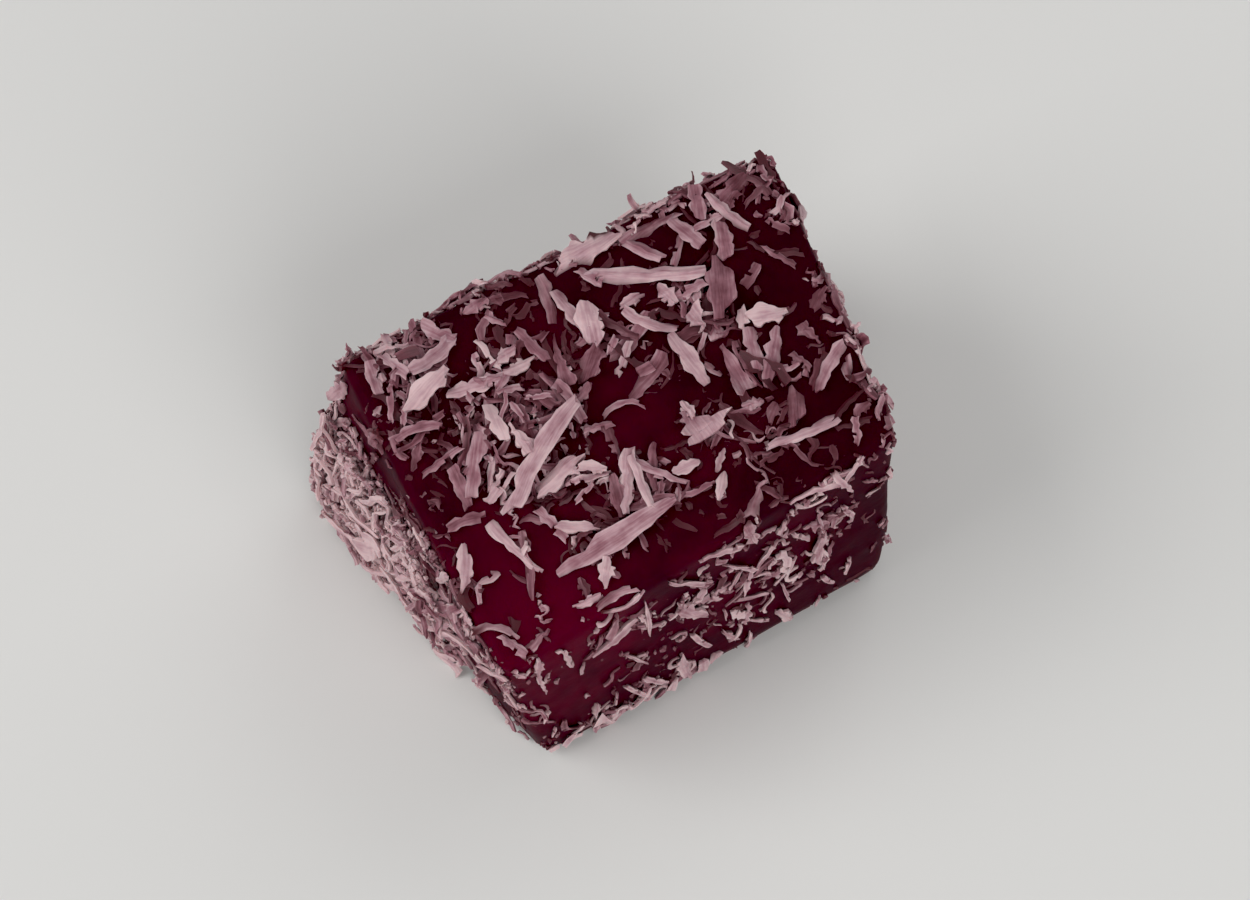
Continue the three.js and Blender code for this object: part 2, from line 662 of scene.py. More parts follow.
@dataclass(frozen=True)
class ShredForm:
    """A shred as it is modelled, straight and flat, with the size that it usually has.

    `layer` says how high in the coat it lies, and `per_cm2` how many places are sought for it on
    each square centimetre of a side. `cells` counts its cells along and across. `ragged` is how
    uneven its width is, as a share of it, `skew` how far its ends are pulled askew, as a share of
    its width, and `bites` how many cells are broken off. `rough` is how far its points are moved at
    random, as a share of `ragged`, and `crown` how high its middle is raised, as a share of its
    thickness.
    """

    kind: Kind
    layer: float
    per_cm2: float
    length_mm: float
    width_mm: float
    thick_mm: float
    cells: tuple[int, int]
    variants: int
    ragged: float
    skew: float = 0.35
    bites: int = 0
    rough: float = 0.25
    crown: float = 0.4


@dataclass(frozen=True)
class ShredMesh:
    """One modelled shred, as arrays to copy: places in metres along, across and up, and faces."""

    form: ShredForm
    places: Array
    faces: Array


# Kind, layer, number on a square centimetre, length, width, thickness, cells, variants, and how
# ragged, skewed and bitten it is
FORMS = {
    SLIVER: ShredForm(Kind.SLIVERS, 2.3, 8, 3.2, 0.55, 0.2, (8, 2), 6, 0.24),
    SPEAR: ShredForm(Kind.SLIVERS, 2.2, 4, 3.0, 0.7, 0.2, (8, 2), 6, 0.26, 0.35, 1),
    FORK: ShredForm(Kind.SLIVERS, 2.4, 0.8, 3.0, 1.3, 0.2, (6, 3), 4, 0.24),
    STRIP: ShredForm(Kind.STRIPS, 1.9, 26, 2.3, 0.42, 0.2, (7, 2), 10, 0.3, 0.7, 1),
    WEDGE: ShredForm(Kind.FLAKES, 2.4, 3, 1.9, 1.0, 0.2, (6, 4), 6, 0.28, 0.4, 2),
    FLAKE: ShredForm(Kind.FLAKES, 2.4, 5, 1.6, 0.85, 0.22, (6, 4), 10, 0.34, 0.5, 4),
    SPLINTER: ShredForm(Kind.SPLINTERS, 1.6, 44, 1.0, 0.32, 0.18, (4, 2), 10, 0.38, 0.7, 1),
    THREAD: ShredForm(Kind.THREADS, 1.5, 18, 2.2, 0.22, 0.14, (8, 1), 6, 0.25, 0.0),
    CRUMB: ShredForm(Kind.CRUMBS, 1.2, 34, 0.5, 0.34, 0.22, (2, 2), 6, 0.38, 0.3),
    DUST: ShredForm(Kind.CRUMBS, 1.1, 60, 0.24, 0.18, 0.12, (2, 1), 6, 0.4, 0.4),
}


@dataclass(frozen=True)
class Grater:
    """Models the shreds that the coat is made of.

    `knots` is the number of places along a shred where its width and its course change, and
    `swing` how far the course does, as a share of its raggedness. `ridge` is half of its raised
    middle and `slit` half of the slit of a fork, as shares of the width. `border` is how broad the
    edge is that bites are taken from, in cells. `torn` is the roughness of the large shreds, and
    `uneven` that of the thickness, as a share of it. Points closer than `near_mm` are at one place.
    The seeds keep the random numbers of the outlines and of the steps apart.
    """

    knots: int = 9
    swing: float = 0.3
    ridge: float = 0.2
    slit: float = 0.1
    slit_start_mm: float = 0.1
    border: float = 0.9
    corner_mm: float = 0.05
    torn: float = 0.09
    uneven: float = 0.12
    near_mm: float = 0.01
    seed_step: int = 100
    rough_seed: int = 7
    wear_seed: int = 31

    def model_all(self) -> dict[tuple[Outline, bool], list[ShredMesh]]:
        """Models every variant of every form, and again with finer cells for large shreds.

        Returns:
            The shreds, by outline and by whether they are for large ones.
        """
        shreds: dict[tuple[Outline, bool], list[ShredMesh]] = {}
        for outline, form in FORMS.items():
            along, across = form.cells
            torn = replace(form, cells=(2 * along, across), bites=0, rough=self.torn)
            for is_large, shape in ((False, form), (True, torn)):
                variants = range(shape.variants)
                shreds[outline, is_large] = [self.model(outline, shape, seed) for seed in variants]
        return shreds

    def model(self, outline: Outline, form: ShredForm, seed: int) -> ShredMesh:
        """Models one shred as by hand, from a flat strip of cells.

        Args:
            outline: Its outline.
            form: Its form.
            seed: The number of the variant.

        Returns:
            The shred as arrays.
        """
        rng = np.random.default_rng(self.seed_step * list(Outline).index(outline) + seed)
        bpy.ops.object.select_all(action="DESELECT")
        along, across = form.cells
        bpy.ops.mesh.primitive_grid_add(x_subdivisions=along, y_subdivisions=across, size=1.0)
        shred = bpy.context.active_object
        bpy.ops.object.mode_set(mode="EDIT")
        bpy.ops.transform.resize(value=(form.length_mm * MM, form.width_mm * MM, 1.0))
        if outline is FORK:
            self.split(shred, form)
        self.bite(shred, form, rng)
        self.cut_outline(shred, outline, form, rng)
        self.skew_ends(shred, form, rng)
        self.select_points(shred, lambda place: True)
        rough = form.rough * form.ragged * form.width_mm * MM
        bpy.ops.transform.vertex_random(offset=rough, seed=seed + self.rough_seed)
        bpy.ops.object.mode_set(mode="OBJECT")
        apply_modifier(shred, "SOLIDIFY", thickness=form.thick_mm * MM, offset=0.0)
        self.wear(shred, form, seed)
        return self.read(shred, form)

    def cut_outline(
        self, shred: bpy.types.Object, outline: Outline, form: ShredForm, rng: np.random.Generator
    ) -> None:
        """Narrows and shifts each row of points across the strip, and raises its middle.

        Args:
            shred: The strip, in edit mode.
            outline: Its outline.
            form: Its form.
            rng: Random numbers for the ragged edges.
        """
        width = form.width_mm * MM
        stations = np.linspace(-1, 1, form.cells[0] + 1)
        knots = np.linspace(-1, 1, min(form.cells[0] + 1, self.knots))
        lobes = rng.uniform(1 - form.ragged, 1 + form.ragged, len(knots))
        swings = rng.normal(0, self.swing * form.ragged, len(knots)) * width
        near = self.near_mm * MM
        for along in stations:
            x = along * form.length_mm * MM / 2
            share = outline.width_share(along) * float(np.interp(along, knots, lobes))
            aside = float(np.interp(along, knots, swings))
            self.select_points(shred, lambda place, x=x: abs(place.x - x) < near)
            bpy.ops.transform.resize(value=(1.0, share, 1.0), center_override=(x, 0.0, 0.0))
            half = self.ridge * width * share
            self.select_points(
                shred, lambda place, x=x, half=half: abs(place.x - x) < near and abs(place.y) < half
            )
            bpy.ops.transform.translate(value=(0.0, 0.0, form.crown * form.thick_mm * MM))
            self.select_points(shred, lambda place, x=x: abs(place.x - x) < near)
            bpy.ops.transform.translate(value=(0.0, aside, 0.0))

    def skew_ends(
        self, shred: bpy.types.Object, form: ShredForm, rng: np.random.Generator
    ) -> None:
        """Pulls one corner of each end along the strip, so that it looks broken off askew.

        Args:
            shred: The strip, in edit mode.
            form: Its form.
            rng: Random numbers.
        """
        tip = form.length_mm * MM / 2 - self.near_mm * MM
        off = self.corner_mm * MM
        for end in (-1, 1):
            hand = rng.choice([-1, 1])
            self.select_points(
                shred,
                lambda place, end=end, hand=hand: place.x * end > tip and place.y * hand > off,
            )
            pull = rng.uniform(0, form.skew) * form.width_mm * MM
            bpy.ops.transform.translate(value=(end * pull, 0.0, 0.0))

    @staticmethod
    def select_points(shred: bpy.types.Object, wanted: Callable[[Vector], bool]) -> None:
        """Selects the points of a mesh in edit mode by their place.

        Args:
            shred: The object.
            wanted: Says of a place whether its point is selected.
        """
        mesh = bmesh.from_edit_mesh(shred.data)
        for vertex in mesh.verts:
            vertex.select = bool(wanted(vertex.co))
        mesh.select_flush_mode()
        bmesh.update_edit_mesh(shred.data)

    def split(self, shred: bpy.types.Object, form: ShredForm) -> None:
        """Cuts the cells between the two prongs of a fork away.

        Args:
            shred: The strip, in edit mode.
            form: The form.
        """
        mesh = bmesh.from_edit_mesh(shred.data)
        half = self.slit * form.width_mm * MM
        for face in mesh.faces:
            middle = face.calc_center_median()
            face.select_set(middle.x > self.slit_start_mm * MM and abs(middle.y) < half)
        bmesh.update_edit_mesh(shred.data)
        bpy.ops.mesh.delete(type="FACE")

    def bite(self, shred: bpy.types.Object, form: ShredForm, rng: np.random.Generator) -> None:
        """Breaks cells off one long side, which leaves notches and stepped ends.

        Args:
            shred: The strip, in edit mode.
            form: The form, with the number of cells.
            rng: Random numbers.
        """
        mesh = bmesh.from_edit_mesh(shred.data)
        hand = rng.choice([-1, 1])
        edge = (0.5 - self.border / form.cells[1]) * form.width_mm * MM
        border = [f for f in mesh.faces if f.calc_center_median().y * hand > max(edge, 0.0)]
        broken = set(rng.choice(len(border), form.bites, replace=False)) if form.bites else set()
        for face in mesh.faces:
            face.select_set(False)
        for number in broken:
            border[number].select_set(True)
        bmesh.update_edit_mesh(shred.data)
        bpy.ops.mesh.delete(type="FACE")

    def wear(self, shred: bpy.types.Object, form: ShredForm, seed: int) -> None:
        """Makes the thickness uneven.

        Args:
            shred: The solid shred.
            form: The form.
            seed: The number of the variant.
        """
        select_only(shred)
        bpy.ops.object.mode_set(mode="EDIT")
        bpy.ops.mesh.select_all(action="SELECT")
        uneven = self.uneven * form.thick_mm * MM
        bpy.ops.transform.vertex_random(offset=uneven, seed=seed + self.wear_seed)
        bpy.ops.object.mode_set(mode="OBJECT")

    @staticmethod
    def read(shred: bpy.types.Object, form: ShredForm) -> ShredMesh:
        """Reads the modelled mesh into arrays and removes the object.

        Args:
            shred: The object.
            form: The form.

        Returns:
            The arrays.
        """
        mesh = shred.data
        places = np.array([v.co for v in mesh.vertices], float)
        faces = np.array([p.vertices for p in mesh.polygons], int)
        bpy.data.objects.remove(shred)
        bpy.data.meshes.remove(mesh)
        return ShredMesh(form, places, faces)


@dataclass(frozen=True)
class Laid:
    """A shred at a place on a side: right and up in mm, turn in degrees, length and width in mm.

    `stain` runs from 0, dry, to 1, soaked. `bow` is how far it curves to the left along its
    length, in radians, and `sway` how far it swings to each side, in mm. Places are measured from
    the middle of the candy's base.
    """

    outline: Outline
    right: float
    up: float
    turn: float
    length: float
    width: float
    stain: float = 0.3
    bow: float = 0.0
    sway: float = 0.0

    def bend(self, along: Array, across: Array) -> tuple[Array, Array]:
        """Curves points of a straight shred within its plane and moves them to their place.

        Args:
            along: Their places along the shred from its middle, in metres.
            across: Their places across it.

        Returns:
            Their places to the right and up on the side, in metres.
        """
        bow = self.bow if abs(self.bow) > LEAST_BOW else LEAST_BOW
        radius = self.length * MM / bow
        rise = radius * (1 - math.cos(bow / 2)) / 2
        across = across + self.sway * MM * np.sin(2 * math.pi * along / (self.length * MM))
        x = (radius - across) * np.sin(along / radius)
        y = radius - (radius - across) * np.cos(along / radius) - rise
        cos, sin = math.cos(math.radians(self.turn)), math.sin(math.radians(self.turn))
        return self.right * MM + x * cos - y * sin, self.up * MM + x * sin + y * cos


@dataclass(frozen=True)
class Patch:
    """A place on a side where the coat is thicker or thinner, in mm.

    `gain` is what it adds to the cover in its middle.
    """

    right: float
    up: float
    reach_right: float
    reach_up: float
    gain: float

    def at(self, right: float, up: float) -> float:
        """What the patch adds to the cover at a place."""
        away = ((right - self.right) / self.reach_right) ** 2 + ((up - self.up) / self.reach_up) ** 2
        return self.gain * math.exp(-away)


@dataclass(frozen=True)
class Coating:
    """How a side is coated: how much of the fine and the coarse coconut, where, and how it lies.

    `fine`, `coarse` and `threads` scale the numbers of shreds. `cover` is how likely coconut is to
    stick, and `least` the lowest that this gets. It goes up and down by up to `clump_depth` in
    clumps of about `clump_mm`, and `clump_shift_mm` keeps the clumps of two sides from being the
    same. `pile_mm` is how high the coat may get, `stain` how soaked it is on average, and `stand` how
    far the ends of the shreds stick up. `size` scales the shreds, `bow` is how much they curve, and
    `droop` how far their lower edges hang away. `hold` is the least share of a shred that lies on
    the side, and the rest of it may jut out past the edge. `limp` is the least and the greatest
    share by which a shred gives way to what is under it.
    """

    fine: float = 1.0
    coarse: float = 1.0
    threads: float = 1.0
    cover: float = 0.55
    least: float = 0.04
    clump_mm: float = 3.5
    clump_depth: float = 0.8
    clump_shift_mm: float = 40.0
    pile_mm: float = 1.0
    stain: float = 0.5
    stand: float = 0.1
    size: float = 1.0
    bow: float = 0.45
    droop: float = 0.0
    hold: float = 0.75
    limp: Limits = (0.45, 0.85)
    patches: tuple[Patch, ...] = ()
    chosen: tuple[Laid, ...] = ()

    def cover_at(self, right: float, up: float, side: int) -> float:
        """How likely coconut is to stick at a place, given in mm."""
        spot = Vector((right, up, self.clump_shift_mm * side)) / self.clump_mm
        cover = self.cover + noise.noise(spot) * self.clump_depth
        return max(cover + sum(patch.at(right, up) for patch in self.patches), self.least)


@dataclass
class Heap:
    """The shreds of one kind as they come together: their places, faces, and what they carry.

    Faces that meet at more than `crease_deg` keep a crease between them.
    """

    places: list[Array] = field(default_factory=list)
    faces: list[Array] = field(default_factory=list)
    grains: list[Array] = field(default_factory=list)
    coats: list[Array] = field(default_factory=list)
    count: int = 0
    crease_deg: float = 40.0

    def add(self, places: Array, faces: Array, grain: Array, coat: Array) -> None:
        """Adds one shred.

        Args:
            places: Its points, in metres.
            faces: Its faces, counted from its own first point.
            grain: Along and across of each point, in mm.
            coat: Stain, height above the jelly in mm and nearness to the rim, for each point.
        """
        self.places.append(places)
        self.faces.append(faces + self.count)
        self.grains.append(grain)
        self.coats.append(coat)
        self.count += len(places)

    def build(self, name: str, material: bpy.types.Material) -> bpy.types.Object:
        """Joins the shreds into one piece.

        Args:
            name: The piece's name.
            material: Its material.

        Returns:
            The piece.
        """
        mesh = bpy.data.meshes.new(name)
        faces = np.concatenate(self.faces)
        mesh.from_pydata(np.concatenate(self.places).tolist(), [], faces.tolist())
        grain = mesh.uv_layers.new(name=GRAIN_MAP)
        grain.data.foreach_set("uv", np.concatenate(self.grains)[faces.ravel()].astype("f").ravel())
        coat = mesh.attributes.new(COAT_ATTRIBUTE, "FLOAT_COLOR", "POINT")
        coat.data.foreach_set("color", np.concatenate(self.coats).astype("f").ravel())
        piece = bpy.data.objects.new(name, mesh)
        bpy.context.scene.collection.objects.link(piece)
        select_only(piece)
        bpy.ops.object.shade_smooth_by_angle(angle=math.radians(self.crease_deg))
        dress(piece, material)
        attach(piece, BODY)
        return piece


@dataclass
class CoatedSide:
    """One side of the jelly, with the heights of its surface and of the coconut on it.

    Heights are kept for cells of `cell_mm`, measured by rays that start `ray_start_mm` outside. A
    side goes as far as its surface faces outward by `flat_share`, and an edge down to
    `edge_depth_mm` under its ridge. A shred is felt for support at `stations` places along it, in
    the middle and at `feel` of its width to each side. It slopes by up to `steepest`, nothing under
    it sticks up into its line by more than `overhang_mm`, and it is pressed into its bed by
    `press_mm`, the soaked ones the deepest. `thinnest` is the least share of the pile's height,
    where the cover is thin.

    The spreads are those of the random numbers for the shreds' thickness, roll, twist and curl.
    Roll and twist lean a shred across itself, up to `most_roll` radians, and curl raises its edges,
    up to `most_curl` of its width. `hang_mm` is how far down the droop of a side grows. `ease`
    evens out the bend of a shred, and `grain_shift_mm` gives each its own part of the grain. Points
    less than `gap_mm` apart are joined by `marks` places where the pile is raised.
    """

    side: Side
    jelly: BVHTree
    box: tuple[Vector, Vector]
    coating: Coating
    cell_mm: float = 0.2
    ray_start_mm: float = 10.0
    flat_share: float = 0.45
    edge_depth_mm: float = 0.9
    stations: int = 9
    feel: float = 0.35
    steepest: float = 0.4
    overhang_mm: float = 0.3
    thinnest: float = 0.2
    press_mm: Limits = (0.05, 0.2)
    thick_spread: Limits = (0.8, 1.25)
    roll_spread: float = 0.16
    twist_spread: float = 0.3
    most_roll: float = 0.7
    curl_spread: float = 0.16
    most_curl: float = 0.3
    hang_mm: float = 0.9
    ease: tuple[float, float, float] = (0.25, 0.5, 0.25)
    grain_shift_mm: float = 50.0
    gap_mm: float = 1.5
    marks: int = 4

    def __post_init__(self) -> None:
        """Measures the side by rays cast on it from outside."""
        self.number = list(Side).index(self.side)
        self.cell = self.cell_mm * MM
        self.out, self.right, self.up = self.side.axes()
        corners = np.array([list(corner) for corner in self.box])
        self.low = np.array([min(corners @ self.right), min(corners @ self.up)])
        self.high = np.array([max(corners @ self.right), max(corners @ self.up)])
        far = max(corners @ self.out) + self.ray_start_mm * MM
        size = np.ceil((self.high - self.low) / self.cell).astype(int) + 1
        self.surface = np.full(size, -np.inf)
        inward = Vector(-self.out)
        for i, j in np.ndindex(*size):
            spot = self.low + np.array([i, j]) * self.cell
            start = self.right * spot[0] + self.up * spot[1] + self.out * far
            hit, normal, _, _ = self.jelly.ray_cast(Vector(start), inward)
            if hit is not None and normal.dot(inward) < -self.flat_share:
                self.surface[i, j] = float(np.array(hit) @ self.out)
        axis = self.side.ridge_axis()
        if axis is not None:
            ridge = self.surface.max(axis=axis, keepdims=True)
            self.surface[self.surface < ridge - self.edge_depth_mm * MM] = -np.inf
        self.pile = self.surface.copy()

    def area_cm2(self) -> float:
        """The area of the side's box in square centimetres."""
        return float(np.prod(self.high - self.low)) / (10 * MM) ** 2

    def cells_at(self, right: Array, up: Array) -> tuple[Array, Array, Array]:
        """Finds the cells of the grids at places on the side.

        Args:
            right: Places along the side's right, in metres.
            up: Places along its up.

        Returns:
            The cells' two numbers, kept in range, and whether each was in range.
        """
        cells = [np.rint((p - low) / self.cell).astype(int) for p, low in zip((right, up), self.low)]
        sizes = self.surface.shape
        inside = np.logical_and.reduce([(c >= 0) & (c < n) for c, n in zip(cells, sizes)])
        i, j = (np.clip(c, 0, n - 1) for c, n in zip(cells, sizes))
        return i, j, inside

    def height(self, grid: Array, right: Array, up: Array) -> Array:
        """Reads the surface or the pile at places, with minus infinity past the edge."""
        i, j, inside = self.cells_at(right, up)
        return np.where(inside, grid[i, j], -np.inf)

    def rest_on(self, along: Array, support: Array) -> tuple[float, float]:
        """Finds how a stiff shred rests on what is under it.

        Args:
            along: Places along the shred from its middle.
            support: The height of what is under each.

        Returns:
            The height of its middle and its slope.
        """
        held = np.isfinite(support)
        places, heights = along[held], support[held]
        best, slope = -np.inf, 0.0
        for i in np.flatnonzero(places <= 0):
            for j in np.flatnonzero(places >= 0):
                run = places[j] - places[i]
                lean = (heights[j] - heights[i]) / run if run else 0.0
                middle = heights[i] - lean * places[i]
                if middle > best:
                    best, slope = middle, lean
        slope = float(np.clip(slope, -self.steepest, self.steepest))
        highest = (heights - slope * places).max()
        return float(max(best, highest - self.overhang_mm * MM)), slope

    def lay(
        self, mesh: ShredMesh, laid: Laid, rng: np.random.Generator, heap: Heap, chosen: bool
    ) -> bool:
        """Curves a copy of a shred, rests it on the pile and adds it to the heap.

        Args:
            mesh: The shred.
            laid: Its place, turn, size and stain.
            rng: Random numbers.
            heap: What it is added to.
            chosen: Whether it is laid even where the pile is high.

        Returns:
            Whether there was room for it.
        """
        half = laid.length * MM / 2
        line = np.linspace(-half, half, self.stations)
        aside = self.feel * laid.width * MM * np.array([-1, 0, 1])[:, None]
        under = laid.bend(line + 0 * aside, aside + 0 * line)
        support = self.height(self.pile, *under)
        bare = self.height(self.surface, *under)
        held = np.isfinite(bare)
        if held.mean() < self.coating.hold:
            return False
        support = support.max(axis=0)
        rest, slope = self.rest_on(line, support)
        ground = bare[held].max()
        cover = self.coating.cover_at(laid.right, laid.up, self.number)
        share = min(1.0, max(self.thinnest, cover / self.coating.cover))
        if not chosen and rest - ground > share * self.coating.pile_mm * MM:
            return False
        self.place(mesh, laid, rng, heap, (line, support, rest + slope * line, ground))
        return True

    def place(
        self,
        mesh: ShredMesh,
        laid: Laid,
        rng: np.random.Generator,
        heap: Heap,
        bed: tuple[Array, Array, Array, float],
    ) -> None:
        """Shapes a shred to its bed and adds it.

        Args:
            mesh: The shred.
            laid: Its place, turn, size and stain.
            rng: Random numbers.
            heap: What it is added to.
            bed: Places along the shred, the height of what is under each, the height at which a
                stiff shred would lie there, and the height of the jelly.
        """
        form = mesh.form
        line, support, stiff, ground = bed
        thicker = rng.uniform(*self.thick_spread)
        size = (laid.length / form.length_mm, laid.width / form.width_mm, thicker)
        x, y, z = (mesh.places * size).T
        half = laid.length * MM / 2
        right, up = laid.bend(x, y)

        limp = np.where(np.isfinite(support), np.minimum(support, stiff), stiff)
        limp = np.convolve(np.pad(limp, 1, mode="edge"), self.ease, mode="valid")
        curve = stiff + rng.uniform(*self.coating.limp) * (limp - stiff)
        stand = rng.normal(0, self.coating.stand)
        raised = abs(stand) * (half + math.copysign(1, stand) * x) / 2
        roll = rng.normal(0, self.roll_spread) + rng.normal(0, self.twist_spread) * x / half
        lean = np.tan(np.clip(roll, -self.most_roll, self.most_roll))
        aside = np.clip(2 * y / (laid.width * MM), -1, 1)
        curl = np.clip(rng.normal(0, self.curl_spread), -self.most_curl, self.most_curl)
        curl = curl * laid.width * MM * aside**2
        thick = form.thick_mm * MM * thicker
        press = np.interp(laid.stain, (0, 1), self.press_mm) * MM
        bottom = np.interp(x, line, curve) + raised - press
        below = np.clip(up.max() - up, 0, self.hang_mm * MM) * self.coating.droop
        out = bottom + thick / 2 + z + y * lean + curl + below

        places = np.outer(right, self.right) + np.outer(up, self.up) + np.outer(out, self.out)
        places[:, 2] = np.maximum(places[:, 2], 0.0)
        surface = self.height(self.surface, right, up)
        above = (out - np.where(np.isfinite(surface), surface, ground)) / MM
        chance = rng.random()
        ones = np.ones(len(x))
        coat = np.column_stack([laid.stain * ones, above, abs(aside), ones])
        grain = np.column_stack([x, y]) / MM + self.grain_shift_mm * chance
        heap.add(places, mesh.faces, grain, coat)
        self.raise_pile(right, up, bottom + thick)

    def raise_pile(self, right: Array, up: Array, top: Array) -> None:
        """Marks that a shred now lies here.

        Args:
            right: Places of the shred's points along the side's right.
            up: Places along its up.
            top: The height of its upper face there.
        """
        shares = np.linspace(0, 1, self.marks)[:, None]
        ends = [(p, np.roll(p, -1)) for p in (right, up, top)]
        near = sum(abs(end - start) for start, end in ends[:2]) < self.gap_mm * MM
        spots = [start + shares * (end - start) for start, end in ends]
        i, j, inside = self.cells_at(spots[0], spots[1])
        known = inside & near & np.isfinite(self.pile[i, j])
        np.maximum.at(self.pile, (i[known], j[known]), spots[2][known])


@dataclass
class Coat:
    """All the coconut on the candy.

    Shreds are laid in the order of their layer less their stain, shuffled by `order_spread`. Those
    with a chosen place all lie in `chosen_layer`. Layers above `coarse_layer` are coarse, and
    shreds of more than `large_mm2` are copied from the finer meshes. At most `tries` places are
    drawn for each of the shreds laid at random. The spreads and limits are those of their sizes,
    widths and stains. Where the cover is close they are drier, by up to `drier`. They sway by about
    `sway_mm`, and threads by `thread_sway_mm`, which also bow `thread_bow` times as much.
    """

    jelly: bpy.types.Object
    first_seed: int = 11
    chosen_layer: float = 2.9
    coarse_layer: float = 2.0
    order_spread: float = 0.5
    large_mm2: float = 1.9
    tries: int = 20
    size_spread: float = 0.35
    size_limits: Limits = (0.45, 2.0)
    slim_spread: float = 0.25
    slim_limits: Limits = (0.55, 1.7)
    stain_spread: float = 0.25
    drier: float = 0.5
    sway_mm: float = 0.1
    thread_bow: float = 2.0
    thread_sway_mm: float = 0.2

    def __post_init__(self) -> None:
        """Takes the surface that the coat lies on, and models the shreds."""
        self.tree = BVHTree.FromObject(self.jelly, bpy.context.evaluated_depsgraph_get())
        places = np.array([v.co for v in self.jelly.data.vertices])
        self.box = Vector(places.min(axis=0)), Vector(places.max(axis=0))
        self.heaps = {kind: Heap() for kind in Kind}
        self.shreds = Grater().model_all()

    def build(self, coatings: dict[Side, Coating]) -> list[bpy.types.Object]:
        """Coats the sides and joins each kind into a piece.

        Args:
            coatings: What lies on each side.

        Returns:
            The pieces.
        """
        for side, coating in coatings.items():
            laid = self.coat_side(CoatedSide(side, self.tree, self.box, coating))
            log.info("%s side: %d shreds", side.name.lower(), laid)
        material = CoconutFinish().material()
        return [self.heaps[kind].build(kind.value, material) for kind in Kind]

    def coat_side(self, side: CoatedSide) -> int:
        """Lays all the coconut of one side, the finest and the most soaked first.

        Args:
            side: The side.

        Returns:
            How many shreds it holds.
        """
        rng = np.random.default_rng(side.number + self.first_seed)
        chosen = [(self.chosen_layer - laid.stain, laid, True) for laid in side.coating.chosen]
        scattered = [
            (form.layer - laid.stain + rng.normal(0, self.order_spread), laid, False)
            for outline, form in FORMS.items()
            for laid in self.scatter(side, outline, rng)
        ]
        count = 0
        for _, laid, wanted in sorted(chosen + scattered, key=lambda row: row[0]):
            variants = self.shreds[laid.outline, laid.length * laid.width > self.large_mm2]
            mesh = variants[rng.integers(len(variants))]
            count += side.lay(mesh, laid, rng, self.heaps[mesh.form.kind], wanted)
        return count

    def scatter(self, side: CoatedSide, outline: Outline, rng: np.random.Generator) -> list[Laid]:
        """Picks places for the shreds of one outline.

        Args:
            side: The side.
            outline: Their outline.
            rng: Random numbers.

        Returns:
            The shreds at their places.
        """
        form, coating = FORMS[outline], side.coating
        share = coating.coarse if form.layer > self.coarse_layer else coating.fine
        bow, sway = coating.bow, self.sway_mm
        if outline is THREAD:
            share *= coating.threads
            bow *= self.thread_bow
            sway = self.thread_sway_mm
        amount = round(form.per_cm2 * side.area_cm2() * share)
        spots: list[Laid] = []
        for _ in range(amount * self.tries):
            right, up = rng.uniform(side.low, side.high) / MM
            cover = coating.cover_at(right, up, side.number)
            if rng.random() > cover:
                continue
            size = float(np.clip(rng.lognormal(0, self.size_spread), *self.size_limits))
            size *= coating.size
            slim = float(np.clip(rng.lognormal(0, self.slim_spread), *self.slim_limits))
            stain = rng.normal(coating.stain - self.drier * cover, self.stain_spread)
            spots.append(
                Laid(
                    outline,
                    right,
                    up,
                    turn=rng.uniform(0, 360),
                    length=form.length_mm * size,
                    width=form.width_mm * slim * math.sqrt(size),
                    stain=float(np.clip(stain, 0, 1)),
                    bow=rng.normal(0, bow),
                    sway=rng.normal(0, sway),
                )
            )
            if len(spots) >= amount:
                break
        return spots


